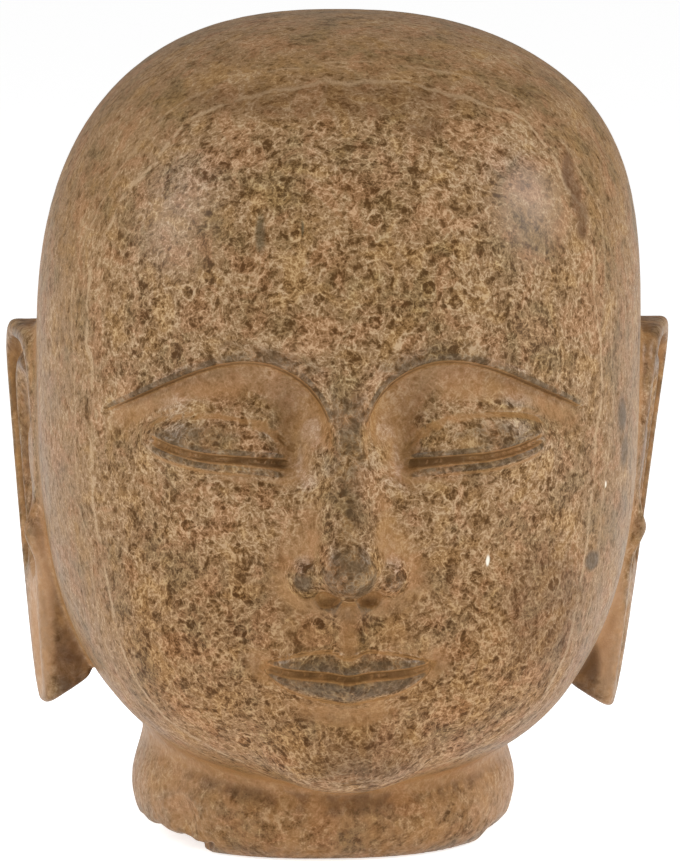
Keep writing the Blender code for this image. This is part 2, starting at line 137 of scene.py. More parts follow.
faceMasses = {  # centre and half sizes of each round mass
    "cheek": ((56.0, noseTipY + 88.0, noseBaseZ - 8.0), (52.0, 54.0, 52.0)),
    "jaw": ((0.0, noseTipY + 110.0, mouthZ + 1.0), (110.0, 86.0, 70.0)),
    "muzzle": ((0.0, noseTipY + 64.0, mouthZ + 7.0), (44.0, 44.0, 36.0)),
    "chin": ((0.0, noseTipY + 63.0, chinZ + 30.0), (36.0, 31.0, 24.0)),
    "jawFillet": 24.0,
    "chinFillet": 18.0,
    "muzzleFillet": 16.0,
    "faceFillet": 14.0,
    "carvedFrom": -40.0,  # the fine carving starts here, and is full a little further on
    "carvedFade": 30.0,
}


def fullCheeks(p, half):
    m = faceMasses
    sides = softer(egg(half, *m["cheek"]), egg(p, *m["jaw"]), m["jawFillet"])
    middle = softer(egg(p, *m["muzzle"]), egg(p, *m["chin"]), m["chinFillet"])
    return softer(sides, middle, m["muzzleFillet"])


eyeWidth = skullShape["width"] / 5
eyeShape = {
    "x": eyeWidth,
    "socket": ((eyeWidth - 6.0, foreheadY - 6.0, eyeZ + 8.0), (46.0, 17.0, 25.0)),
    "corner": ((25.0, foreheadY - 2.0, eyeZ + 2.0), (13.0, 17.0, 22.0)),
    "ball": ((eyeWidth, foreheadY + 32.5, eyeZ - 3.0), (34.0, 27.0, 23.0)),
    "socketFillet": 16.0,
    "cornerFillet": 12.0,
    "ballFillet": 11.0,
    "lidHalf": eyeWidth / 2 + 4.0,
    "lidEnd": 1.04,
    "lidFade": 0.22,
    "slitDrop": 9.0,
    "tilt": 2.4,
    "wave": 3.4,
    "sag": 2.0,
    "lines": (  # height, half width and rise of each line of the lids
        (0.0, 2.6, -2.2),
        (3.6, 3.4, 1.1),
        (-4.4, 3.6, 1.3),
        (-9.5, 4.5, -0.7),
    ),
    "foldRise": 17.0,
    "foldWidening": 0.96,
    "foldSharpness": 1.4,
    "foldGap": 3.0,
    "foldHalf": 2.4,
    "foldDepth": 1.3,
}


def sockets(form, half):
    e = eyeShape
    form = cut(form, egg(half, *e["socket"]), e["socketFillet"])
    form = cut(form, egg(half, *e["corner"]), e["cornerFillet"])
    return softer(form, egg(half, *e["ball"]), e["ballFillet"])


def lidCarving(x, z):  # edge of the lowered lid, the lower lid and the fold above
    e = eyeShape
    t = (x - e["x"]) / e["lidHalf"]
    up = z - (eyeZ - e["slitDrop"] + e["tilt"] * t + e["wave"] * t * np.abs(t) + e["sag"] * t * t)
    lines = sum(rise * hump((up - height) / half) for height, half, rise in e["lines"])
    arch = np.sqrt(np.clip(1 - (t * e["foldWidening"]) ** 2, 0.0, 1.0)) ** e["foldSharpness"]
    fold = -e["foldDepth"] * hump((up - e["foldRise"] * arch - e["foldGap"]) / e["foldHalf"])
    return (lines + fold) * ease((e["lidEnd"] - np.abs(t)) / e["lidFade"])


noseShape = {
    "ridge": ((0.0, noseTipY + 26.0, browZ - 8.0), (0.0, noseTipY + 15.5, noseBaseZ + 17.0), 8.0, 13.0),
    "root": ((0.0, noseTipY + 40.0, browZ - 12.0), (3.0, noseTipY + 34.0, noseBaseZ + 18.0), 15.0, 22.0),
    "tip": ((0.0, noseTipY + 15.5, noseBaseZ + 15.0), (14.0, 15.5, 13.0)),
    "wing": ((18.0, noseTipY + 26.0, noseBaseZ + 11.0), (10.0, 14.0, 10.0)),
    "nostril": ((9.5, noseTipY + 17.0, noseBaseZ + 0.5), (5.2, 7.0, 4.6)),
    "rootFillet": 12.0,
    "ridgeFillet": 7.0,
    "tipFillet": 5.0,
    "wingFillet": 4.5,
    "nostrilFillet": 2.5,
}


def nose(form, half):
    n = noseShape
    bridge = softer(roundBar(half, *n["ridge"]), egg(half, *n["tip"]), n["tipFillet"])
    form = softer(form, roundBar(half, *n["root"]), n["rootFillet"])
    form = softer(form, bridge, n["ridgeFillet"])
    form = softer(form, egg(half, *n["wing"]), n["wingFillet"])
    return cut(form, egg(half, *n["nostril"]), n["nostrilFillet"])


browShape = {
    "startX": 9.0,
    "length": 106.0,
    "drop": 22.0,
    "rise": 30.0,
    "skew": 0.72,  # below 1, the arch is highest nearer the nose
    "taper": 0.25,
    "slant": 2.0,
    "innerX": 4.0,
    "innerFade": 10.0,
    "outerPast": 5.0,
    "outerFade": 26.0,
    "cut": 3.6,
    "cutEdge": 3.0,
    "cutFlat": 2.0,
    "cutFade": 26.0,
    "ridge": 0.9,
    "ridgeUp": 3.0,
    "ridgeHalf": 3.5,
}


def browCut(x, z):  # a crisp undercut that fades over the lid
    b = browShape
    t = np.clip((x - b["startX"]) / b["length"], 0.0, 1.0)
    arch = b["rise"] * np.sin(math.pi * t ** b["skew"]) * (1 - b["taper"] * t)
    below = browZ - b["drop"] + arch - b["slant"] * t - z
    inner = ease((x - b["innerX"]) / b["innerFade"])
    outer = ease((b["startX"] + b["length"] + b["outerPast"] - x) / b["outerFade"])
    step = b["cut"] * ease(below / b["cutEdge"] + 0.5) * (1 - ease((below - b["cutFlat"]) / b["cutFade"]))
    return (step - b["ridge"] * hump((below + b["ridgeUp"]) / b["ridgeHalf"])) * (inner * outer)


mouthShape = {
    "half": 39.0,
    "bow": 1.6,
    "bowHalf": 7.0,
    "cornerLift": 2.6,
    "liftEnd": 1.2,
    "upperHeight": 12.5,
    "upperRise": 4.4,
    "upperEnds": 1.3,
    "upperPart": (0.30, 0.70),  # the part of a half wave that each lip's section follows
    "lowerHeight": 13.5,
    "lowerRise": 5.2,
    "lowerEnds": 1.2,
    "lowerPart": (0.34, 0.66),
    "bowDip": 2.6,
    "bowDipHalf": 5.5,
    "thinnest": 0.3,
    "meeting": 2.4,
    "seam": 3.0,
    "seamHalf": 3.0,
    "seamEnd": 1.06,
    "seamFade": 0.1,
    "corner": 2.6,
    "cornerPast": 1.0,
    "cornerHalves": (6.5, 7.0),
    "groove": 1.6,
    "grooveHalf": 3.6,
    "bank": 0.9,
    "bankX": 7.0,
    "bankHalf": 3.0,
    "grooveUp": 9.0,
    "grooveFade": 4.0,
    "groovePast": 1.0,
    "grooveTopFade": 5.0,
    "chinHollow": 3.0,
    "chinHollowDrop": 20.0,
    "chinHollowHalves": (22.0, 6.0),
}


def mouthLine(x):
    m = mouthShape
    lift = m["cornerLift"] * np.minimum(x / m["half"], m["liftEnd"]) ** 4
    return mouthZ - m["bow"] * bell(x / m["bowHalf"]) + lift


def lipSection(share, rise, part):
    start, length = part
    return rise * np.sqrt(np.sin(math.pi * (start + length * share)).clip(0))


def lipCarving(x, z):
    m = mouthShape
    t = x / m["half"]
    up = z - mouthLine(x)
    roundEnd = np.sqrt(np.clip(1 - t * t, 0.0, 1.0))
    upperEdge = m["upperHeight"] * roundEnd ** m["upperEnds"] - m["bowDip"] * bell(x / m["bowDipHalf"])
    lowerEdge = m["lowerHeight"] * roundEnd ** m["lowerEnds"]
    upper = np.clip(up / np.maximum(upperEdge, m["thinnest"]), 0, 1)
    lower = np.clip(-up / np.maximum(lowerEdge, m["thinnest"]), 0, 1)
    upperLip = lipSection(upper, m["upperRise"], m["upperPart"])
    lowerLip = lipSection(lower, m["lowerRise"], m["lowerPart"])
    lips = lowerLip + (upperLip - lowerLip) * ease(up / m["meeting"] + 0.5)
    seam = -m["seam"] * hump(up / m["seamHalf"]) * ease((m["seamEnd"] - t) / m["seamFade"])
    cornerX, cornerZ = m["cornerHalves"]
    corner = -m["corner"] * bell((x - m["half"] - m["cornerPast"]) / cornerX) * bell(up / cornerZ)
    groove = -m["groove"] * bell(x / m["grooveHalf"]) + m["bank"] * bell((x - m["bankX"]) / m["bankHalf"])
    groove = groove * ease((z - mouthLine(0.0) - m["grooveUp"]) / m["grooveFade"])
    groove = groove * ease((noseBaseZ + m["groovePast"] - z) / m["grooveTopFade"])
    hollowX, hollowZ = m["chinHollowHalves"]
    hollow = -m["chinHollow"] * bell(x / hollowX) * bell((up + m["chinHollowDrop"]) / hollowZ)
    return lips * roundEnd**0.5 + seam + corner + groove + hollow


earShape = {
    "topZ": 246.0,
    "tipZ": 56.0,
    "tipDrop": 2.2,  # one tip is this much lower, and the other this much higher
    "y": 24.0,
    "thick": 24.0,
    "rounding": 5.0,
    "backRounding": 4.0,
    "sideRounding": 8.0,
    "endRounding": 22.0,
    "rimTopX": grid["width"] / 2 + 2.4,  # the rounding takes the rim back to the grid's edge
    "rimTipX": 143.0,
    "topShift": 2.7,
    "tipShift": 4.3,
    "bow": 1.6,
    "flare": math.radians(11.0),
    "lean": math.radians(6.0),
    "lobeSlant": 0.7,
    "backTip": 15.0,  # how far the ear reaches back at its tip, and how much more higher up
    "backSpread": 25.0,
    "backBy": 0.75,
    "frontTip": -19.0,
    "frontSpread": 14.0,
    "frontFrom": 0.15,
    "frontBy": 0.7,
    "hollows": (  # centre back and up, half sizes, depth, reach, softness
        (-4.0, 2.0, 15.5, 26.0, 9.0, 1.15, 0.5),
        (-3.0, 47.0, 13.0, 15.0, 2.6, 1.1, 0.7),
        (-2.0, -58.0, 10.5, 27.0, 2.6, 1.1, 0.8),
    ),
    "upperFrom": -30.0,  # the gutter and the fold run round the upper ear only
    "upperFade": 22.0,
    "gutter": 6.0,
    "gutterFade": 4.0,
    "gutterFrom": -14.0,
    "gutterBackFade": 12.0,
    "overTop": 44.0,
    "overTopFade": 14.0,
    "rim": 6.5,
    "foldRise": 4.6,
    "foldIn": 19.0,
    "foldHalf": 7.5,
    "foldFrom": -12.0,
    "foldFade": 14.0,
    "flap": 5.5,
    "flapPlace": (-22.0, -2.0),
    "flapHalves": (6.5, 11.0),
}


def earHollow(u, v, hollow):
    middleU, middleV, halfU, halfV, depth, reach, soft = hollow
    gap = np.sqrt(((u - middleU) / halfU) ** 2 + ((v - middleV) / halfV) ** 2)
    return depth * ease((reach - gap) / soft)


def earCarving(u, v, edge):  # what is cut into the ear's outer face, and stands up from it
    e = earShape
    upper = ease((v - e["upperFrom"]) / e["upperFade"])
    behind = ease((u - e["gutterFrom"]) / e["gutterBackFade"])
    behind = np.maximum(behind, ease((v - e["overTop"]) / e["overTopFade"]))
    gutter = e["gutter"] * ease((-edge - e["rim"]) / e["gutterFade"]) * upper * behind
    fold = e["foldRise"] * hump((-edge - e["foldIn"]) / e["foldHalf"]) * upper
    fold = fold * ease((u - e["foldFrom"]) / e["foldFade"])
    flapU, flapV = e["flapPlace"]
    halfU, halfV = e["flapHalves"]
    flap = e["flap"] * bell((u - flapU) / halfU) * bell((v - flapV) / halfV)
    hollows = sum(earHollow(u, v, hollow) for hollow in e["hollows"])
    return gutter, fold, hollows, flap


def ear(p, side):  # one long ear, seen from its own side
    e = earShape
    middleZ = (e["topZ"] + e["tipZ"] - e["tipDrop"]) / 2
    halfLength = e["topZ"] - middleZ
    v = p[:, 2] - middleZ
    u = p[:, 1] - e["y"] - v * math.tan(e["lean"])
    level = np.clip(v / (2 * halfLength) + 0.5, 0.0, 1.0)
    back = e["backTip"] + e["backSpread"] * ease(level / e["backBy"])
    front = e["frontTip"] - e["frontSpread"] * ease((level - e["frontFrom"]) / e["frontBy"])
    edge = both(u - back, front - u, e["sideRounding"])
    edge = both(edge, np.abs(v) - halfLength, e["endRounding"])
    gutter, fold, hollows, flap = earCarving(u, v, edge)
    tipX = e["rimTipX"] - e["tipShift"] * side
    topX = e["rimTopX"] + e["topShift"] * side
    rimX = tipX + (topX - tipX) * level + e["bow"] * 4 * level * (1 - level)
    faceX = rimX - math.tan(e["flare"]) * (back - u)
    face = (p[:, 0] - faceX + gutter - fold + hollows - flap) * math.cos(e["flare"])
    slab = both(both(edge, face, e["rounding"]), faceX - e["thick"] - p[:, 0], e["backRounding"])
    lobeEdge = e["tipZ"] - e["tipDrop"] * side + e["lobeSlant"] * (tipX - p[:, 0]) - p[:, 2]
    return both(slab, lobeEdge / math.hypot(1.0, e["lobeSlant"]), e["backRounding"])


neckShape = {
    "halfWidth": 87.0,
    "halfDepth": 81.0,
    "fullness": 2.3,
    "x": -7.0,
    "y": 12.0,
    "topZ": 130.0,
    "topFillet": 10.0,
    "swell": 7.0,
    "swellZ": 24.0,
    "swellHalf": 20.0,
    "footEase": 14.0,
    "footBelow": 1.5,
}


def neck(p):
    n = neckShape
    swell = n["swell"] * bell((p[:, 2] - n["swellZ"]) / n["swellHalf"])
    across = np.abs(p[:, 0] - n["x"]) / (n["halfWidth"] + swell)
    deep = np.abs(p[:, 1] - n["y"]) / (n["halfDepth"] + swell)
    share = (across ** n["fullness"] + deep ** n["fullness"]) ** (1 / n["fullness"])
    barrel = both((share - 1) * n["halfDepth"], -p[:, 2] - n["footBelow"], n["footEase"])
    return both(barrel, p[:, 2] - n["topZ"], n["topFillet"])


flakes = {
    "x": -68.0,
    "top": 8.0,
    "backY": 34.0,
    "turn": 0.10,
    "rise": 0.08,
    "riseFrom": -60.0,
    "ripples": (  # height, turn in a millimetre across and back, start
        (0.8, -0.19, 0.27, 0.0),
        (0.5, 0.49, 0.36, 0.0),
        (1.5, 0.21, 0.13, 0.8),
    ),
    "cornerFillet": 2.0,
    "backFillet": 6.0,
    "edgeFillet": 1.5,
    "scoops": (  # centre, half sizes, fillet
        ((-86.0, -58.0, 14.0), (17.0, 13.0, 21.0), 2.0),
        ((84.0, -30.0, -2.0), (16.0, 30.0, 13.0), 3.0),
        ((34.0, 96.0, -3.0), (24.0, 14.0, 12.0), 2.0),
    ),
}


def chips(form, p):  # flakes broken from the foot of the neck
    f = flakes
    x, y, z = p.T
    waves = (height * np.sin(across * x + back * y + start) for height, across, back, start in f["ripples"])
    ragged = sum(waves)
    wall = x - f["x"] + f["turn"] * y + ragged
    ceiling = z - f["top"] - ragged - f["rise"] * (y - f["riseFrom"])
    step = both(both(wall, ceiling, f["cornerFillet"]), y - f["backY"] - ragged, f["backFillet"])
    form = cut(form, step, f["edgeFillet"])
    for centre, radii, soft in f["scoops"]:
        form = cut(form, egg(p, centre, radii), soft)
    return form


def mirrored(p):
    half = p.copy()
    half[:, 0] = np.abs(p[:, 0])
    return half


def shavenHead(p, half):
    m = faceMasses
    x, z = half[:, 0], half[:, 2]
    face = softer(skull(p), fullCheeks(p, half), m["faceFillet"])
    face = nose(sockets(face, half), half)
    front = ease((m["carvedFrom"] - p[:, 1]) / m["carvedFade"])
    return face - (lidCarving(x, z) + lipCarving(x, z) - browCut(x, z)) * front


joins = {"ears": 5.0, "neck": 9.0, "foot": 0.8}  # fillets where the forms meet


def carving(p):  # how far each point of the grid is outside the finished carving
    half = mirrored(p)
    head = softer(shavenHead(p, half), ear(half, np.sign(p[:, 0])), joins["ears"])
    whole = chips(softer(head, neck(p), joins["neck"]), p)
    return both(whole, -p[:, 2], joins["foot"])


carvedMesh = {
    "voxel": 3.35,
    "refined": (7600, 5600),
    "longestMove": 4.0,
    "flattest": 0.2,
    "reaches": (4.0, 10.0, 22.0),  # how far around each point its recess is felt
    "ridgeReach": 13.0,
    "edgeReach": 4.5,
    "plainSeam": 6.0,
    "grain": 0.16,
    "grainSize": 9.0,
    "fineGrain": 0.07,
    "fineSize": 3.7,
    "broken": 0.3,
    "brokenTop": 16.0,
    "brokenTopFade": 8.0,
    "brokenPast": 14.0,
    "brokenFade": 10.0,
    "trueBelow": 1.2,  # the underside stays true
}


def slope(p, step=0.25):
    here = carving(p)
    rise = np.empty_like(p)
    for axis in range(3):
        aside = p.copy()
        aside[:, axis] += step
        rise[:, axis] = (carving(aside) - here) / step
    return here, rise


def settle(points, rounds):  # moves points to the carved surface along its slope
    for _ in range(rounds):
        value, rise = slope(points)
        move = rise * (value / np.maximum((rise * rise).sum(axis=1), carvedMesh["flattest"]))[:, None]
        far = np.linalg.norm(move, axis=1)
        move *= (np.minimum(far, carvedMesh["longestMove"]) / np.maximum(far, 1e-9))[:, None]
        points = points - move
    return points


def pointsOf(mesh):
    flat = np.empty(len(mesh.vertices) * 3, np.float32)
    mesh.vertices.foreach_get("co", flat)
    return flat.reshape(-1, 3).astype(float)


def setPoints(mesh, points):
    mesh.vertices.foreach_set("co", points.astype(np.float32).ravel())
    mesh.update()


def edgeEnds(mesh):
    flat = np.empty(len(mesh.edges) * 2, np.int32)
    mesh.edges.foreach_get("vertices", flat)
    return flat.reshape(-1, 2).T


def neighbourMean(mesh, values):
    a, b = edgeEnds(mesh)
    total, count = np.zeros_like(values), np.zeros(len(values))
    for near, far in ((a, b), (b, a)):
        np.add.at(total, near, values[far])
        np.add.at(count, near, 1.0)
    return (total.T / count).T


def evened(mesh, points):  # spaces the mesh out
    return 0.5 * points + 0.5 * neighbourMean(mesh, points)


def bending(mesh):  # how sharply the surface turns around each point
    normals = np.empty(len(mesh.vertices) * 3, np.float32)
    mesh.vertex_normals.foreach_get("vector", normals)
    normals = normals.reshape(-1, 3).astype(float)
    a, b = edgeEnds(mesh)
    turn = 1 - (normals[a] * normals[b]).sum(axis=1)
    bend = np.zeros(len(normals))
    np.maximum.at(bend, a, turn)
    np.maximum.at(bend, b, turn)
    for _ in range(3):
        bend = evened(mesh, bend)
    return bend


def refine(mesh, faceCount):  # splits the faces where the carving turns most
    bend = bending(mesh)
    work = bmesh.new()
    work.from_mesh(mesh)
    work.faces.ensure_lookup_table()
    score = np.array([max(bend[v.index] for v in face.verts) for face in work.faces])
    chosen = np.argsort(-score, kind="stable")[:faceCount]
    edges = {edge for index in chosen for edge in work.faces[index].edges}
    edges = sorted(edges, key=lambda edge: edge.index)
    bmesh.ops.subdivide_edges(work, edges=edges, cuts=1, use_grid_fill=True)
    bmesh.ops.triangulate(work, faces=[face for face in work.faces if len(face.verts) > 4])
    work.to_mesh(mesh)
    work.free()


def fineBlock(node):  # the CAD solid's own form, cut again with far more faces
    print("carving the head finely")
    mesh = node.data.copy()
    work = bmesh.new()
    work.from_mesh(mesh)
    bmesh.ops.remove_doubles(work, verts=work.verts, dist=1e-6)
    work.to_mesh(mesh)
    work.free()
    lowest, highest = (np.array(corner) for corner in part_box("buddha_head"))
    lines = np.array(list(grid.values())) / (highest - lowest)
    setPoints(mesh, pointsOf(mesh) * lines)
    piece = bpy.data.objects.new("carvedHead", mesh)
    bpy.context.scene.collection.objects.link(piece)
    remesh = piece.modifiers.new("remesh", "REMESH")
    remesh.mode = "VOXEL"
    remesh.voxel_size = carvedMesh["voxel"]
    graph = bpy.context.evaluated_depsgraph_get()
    piece.data = bpy.data.meshes.new_from_object(piece.evaluated_get(graph))
    piece.modifiers.clear()
    points = settle(pointsOf(piece.data), 3)
    for _ in range(2):
        points = settle(evened(piece.data, points), 1)
    setPoints(piece.data, points)
    for faceCount in carvedMesh["refined"]:
        refine(piece.data, faceCount)
        points = settle(pointsOf(piece.data), 1)
        points = settle(evened(piece.data, points), 2)
        setPoints(piece.data, points)
    return piece


def turning(points, normal, reach):  # above 0 on ridges, below 0 in hollows
    across = np.cross(normal, (0.31, 0.52, 0.80))  # any direction that no normal lies along
    across /= np.linalg.norm(across, axis=1)[:, None]
    along = np.cross(normal, across)
    angles = np.arange(8) * math.pi / 4
    rim = [carving(points + reach * (math.cos(a) * across + math.sin(a) * along)) for a in angles]
    return sum(rim) / (len(rim) * reach)


def weather(piece):  # recesses, ridges and plain parts, then the stone's own grain
    print("weathering the surface")
    c = carvedMesh
    points = pointsOf(piece.data)
    rise = slope(points)[1]
    steep = np.linalg.norm(rise, axis=1)
    normal = rise / np.maximum(steep, 1e-6)[:, None]
    recess = np.zeros(len(points))
    for reach in c["reaches"]:
        outside = carving(points + normal * reach) / (steep * reach)
        recess += np.clip(1 - outside, 0, 1) / len(c["reaches"])
    ridge = turning(points, normal, c["ridgeReach"]) / steep
    edge = turning(points, normal, c["edgeReach"]) / steep
    half = mirrored(points)
    headGap = shavenHead(points, half)
    otherGap = np.minimum(ear(half, np.sign(points[:, 0])), neck(points))
    plain = ease((headGap - otherGap) / c["plainSeam"] + 0.5)
    broken = ease((c["brokenTop"] - points[:, 2]) / c["brokenTopFade"])
    broken = broken * ease((flakes["x"] + c["brokenPast"] - points[:, 0]) / c["brokenFade"])
    grain = np.array([noise.noise(Vector(q) / c["grainSize"]) for q in points])
    fine = np.array([noise.noise(Vector(q) / c["fineSize"]) for q in points])
    depth = c["grain"] * grain + c["fineGrain"] * fine + c["broken"] * broken * fine
    level = points[:, 2] > c["trueBelow"]
    points = points - normal * (np.abs(depth) * level)[:, None]
    points[:, 2] = np.maximum(points[:, 2], 0.0)
    setPoints(piece.data, points)
    for name, values in (("recess", recess), ("ridge", ridge), ("edge", edge), ("plain", plain)):
        layer = piece.data.attributes.new(name, "FLOAT", "POINT")
        layer.data.foreach_set("value", values.astype(np.float32))


def placed(piece):  # the grid's lines turned to metres, inside the node's own box
    points = pointsOf(piece.data)
    low, high = points.min(axis=0), points.max(axis=0)
    lowest, highest = (np.array(corner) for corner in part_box("buddha_head"))
    setPoints(piece.data, lowest + (points - low) * (highest - lowest) / (high - low))
    piece.data.shade_smooth()


class Wire:  # a socket that takes part in sums
    def __init__(self, tree, socket=None):
        self.tree = tree
        self.socket = socket

    def make(self, kind, settings=None, values=None, output=0):
        node = self.tree.nodes.new(kind)
        for name, value in (settings or {}).items():
            setattr(node, name, value)
        for key, value in (values or {}).items():
            if isinstance(value, Wire):
                self.tree.links.new(value.socket, node.inputs[key])
            else:
                node.inputs[key].default_value = value
        return Wire(self.tree, node.outputs[output])

    def math(self, operation, a, b=0.0):
        return self.make("ShaderNodeMath", {"operation": operation}, {0: a, 1: b})

    def __add__(self, other):
        return self.math("ADD", self, other)

    def __radd__(self, other):
        return self.math("ADD", other, self)

    def __sub__(self, other):
        return self.math("SUBTRACT", self, other)

    def __rsub__(self, other):
        return self.math("SUBTRACT", other, self)

    def __mul__(self, other):
        return self.math("MULTIPLY", self, other)

    def __rmul__(self, other):
        return self.math("MULTIPLY", other, self)

    def __abs__(self):
        return self.math("ABSOLUTE", self)

    def rise(self, low, high):  # 0 at low, 1 at high, smooth between
        values = {"Value": self, "From Min": low, "From Max": high}
        return self.make("ShaderNodeMapRange", {"interpolation_type": "SMOOTHSTEP"}, values)

    def larger(self, other):
        return self.math("MAXIMUM", self, other)


def cloud(spot, size, detail=2.0, rough=0.5, twist=0.0):
    values = {"Vector": spot, "Scale": 1 / size, "Detail": detail, "Roughness": rough, "Distortion": twist}
    return spot.make("ShaderNodeTexNoise", None, values)


def wanderingLines(spot, size, width):
    return 1 - abs(cloud(spot, size, 1.0, 0.5, 0.6) - 0.5).rise(0.0, width)


def lay(under, factor, tint, blend="MIX"):  # one colour over another
    values = {0: factor, 6: under, 7: tint}
    return factor.make("ShaderNodeMix", {"data_type": "RGBA", "blend_type": blend}, values, output=2)


def withVectors(operation, values, output=0):
    return values[0].make("ShaderNodeVectorMath", {"operation": operation}, values, output)


def axisOf(spot, axis):
    return spot.make("ShaderNodeSeparateXYZ", None, {0: spot}, axis)


# Marks on the surface: centre and half sizes in millimetres, and strength
markEdge = (0.55, 1.1)
smudges = (
    ((-39.7, -136.0, 311.0), (3.4, 12.0, 14.0), 0.75),
    ((-21.7, -138.0, 311.0), (1.0, 12.0, 5.0), 0.80),
)
darkMarks = (
    ((129.3, -62.0, 217.0), (5.0, 12.0, 13.0), 0.85),
    ((131.3, -58.0, 198.0), (4.0, 12.0, 12.0), 0.7),
    ((115.3, -84.0, 150.0), (5.5, 14.0, 5.5), 0.85),
    ((-76.7, -56.0, 7.0), (9.0, 14.0, 3.0), 0.8),
    ((42.3, -72.0, 2.0), (7.0, 12.0, 2.0), 0.6),
    ((77.3, -40.0, 9.0), (4.0, 12.0, 3.0), 0.5),
)
whiteMarks = (
    ((63.8, -118.0, 158.0), (1.2, 30.0, 3.4), 0.95),
    ((122.3, -74.0, 185.0), (0.8, 14.0, 2.2), 0.8),
)
headShades = (  # low on one side, across the crown, along the seam and low in front
    ((88.0, -100.0, 132.0), (28.0, 44.0, 38.0), 0.42),
    ((-4.0, -85.0, 366.0), (80.0, 40.0, 12.0), 0.50),
    ((36.0, -100.0, 355.0), (12.0, 30.0, 6.0), 0.60),
    ((103.0, -92.0, 333.0), (4.0, 30.0, 11.0), 0.90),
    ((106.0, -92.0, 322.0), (4.0, 30.0, 11.0), 0.90),
    ((109.0, -92.0, 311.0), (4.0, 30.0, 11.0), 0.90),
    ((14.0, -125.0, 64.0), (36.0, 34.0, 16.0), 0.40),
)
lobeShadeAndEarStains = (  # painted shade inside the lobes, and dark stains on the upper ears
    ((-131.5, 8.0, 84.0), (9.0, 40.0, 24.0), 1.0),
    ((120.0, 8.0, 82.0), (9.0, 40.0, 22.0), 1.0),
    ((-160.0, 20.0, 230.0), (9.0, 40.0, 20.0), 0.80),
    ((158.0, 20.0, 230.0), (9.0, 40.0, 20.0), 0.70),
    ((-156.0, 20.0, 188.0), (9.0, 40.0, 34.0), 0.30),
    ((152.0, 20.0, 188.0), (9.0, 40.0, 34.0), 0.50),
)
skinLights = (  # painted light on the lobes' outer bands and on the sides of the neck
    ((-146.0, 12.0, 106.0), (9.0, 40.0, 54.0), 1.0),
    ((132.0, 12.0, 106.0), (9.0, 40.0, 54.0), 1.0),
    ((-84.0, -22.0, 32.0), (26.0, 60.0, 26.0), 0.35),
    ((76.0, -22.0, 32.0), (26.0, 60.0, 26.0), 0.40),
)
polishedSpots = (  # where the two sides of the dome are waxed smooth
    ((-74.0, -110.0, 305.0), (26.0, 40.0, 28.0), 0.65),
    ((80.0, -105.0, 311.0), (26.0, 40.0, 30.0), 1.0),
)


def marks(spot, places):  # the strongest of the marks at each point
    strongest = None
    for centre, halves, strength in places:
        away = withVectors("SUBTRACT", {0: spot, 1: centre})
        away = withVectors("DIVIDE", {0: away, 1: halves})
        mark = (1 - withVectors("LENGTH", {0: away}, "Value").rise(*markEdge)) * strength
        strongest = mark if strongest is None else strongest.larger(mark)
    return strongest


stoneGrain = {  # sizes in millimetres
    "warp": 3.5,
    "warpSize": 14.0,
    "bedding": 1.5,  # how much closer the marks lie from front to back
    "broad": (60.0, 2.0, 0.5),  # size, detail and roughness of each cloud
    "patches": (22.0, 3.0, 0.55),
    "clumps": (9.0, 2.0, 0.5),
    "blots": (3.6, 2.0, 0.6),
    "spots": (2.0, 2.0, 0.65),
    "grain": (0.9, 2.0, 0.6),
    "frontFrom": -70.0,  # the coarse layer faces the front, and starts about here
    "frontTo": -128.0,
    "frontWander": 22.0,
    "frontShift": 13.0,
    "frontOnPlain": 0.5,
    "hollow": (0.14, 0.40),
    "ravine": (-0.15, 0.02),
    "ravineWander": 0.12,
    "strength": 0.47,  # how strongly the marks show, and what adds to it and takes from it
    "frontStrength": 0.49,
    "hollowFading": 0.45,
    "polishFading": 0.4,
    "spotShare": 0.9,
    "blotShare": 0.6,
    "clumpShare": 0.4,
    "web": ((5.6, 0.26, 0.28), (2.9, 0.24, 0.32)),  # size, pale rim and dark core of the spots
    "webTwist": 0.15,
    "webRim": (0.49, 0.05),
    "webCore": (0.50, 0.74),
    "tubeSize": 12.0,
    "tubeLength": 3.3,
    "tubeWander": 0.16,
    "tubesShown": (0.40, 0.95),
    "paleRing": (0.30, 0.01, 0.06, 0.24),  # distance from the middle, flat, edge, strength
    "darkRing": (0.17, 0.05, 0.12, 0.28),
    "broken": (0.40, 0.56),  # where the thin lines and the rust are interrupted
    "loops": (8.0, 0.045),
    "loopLight": 0.16,
    "curls": (4.6, 0.030),
    "curlDark": 0.30,
    "tone": 0.545,
    "grainContrast": 0.42,
    "grainOnFront": 0.30,
    "plainBlots": 0.7,
    "patchDark": 0.75,
    "hollowLight": 0.05,
}


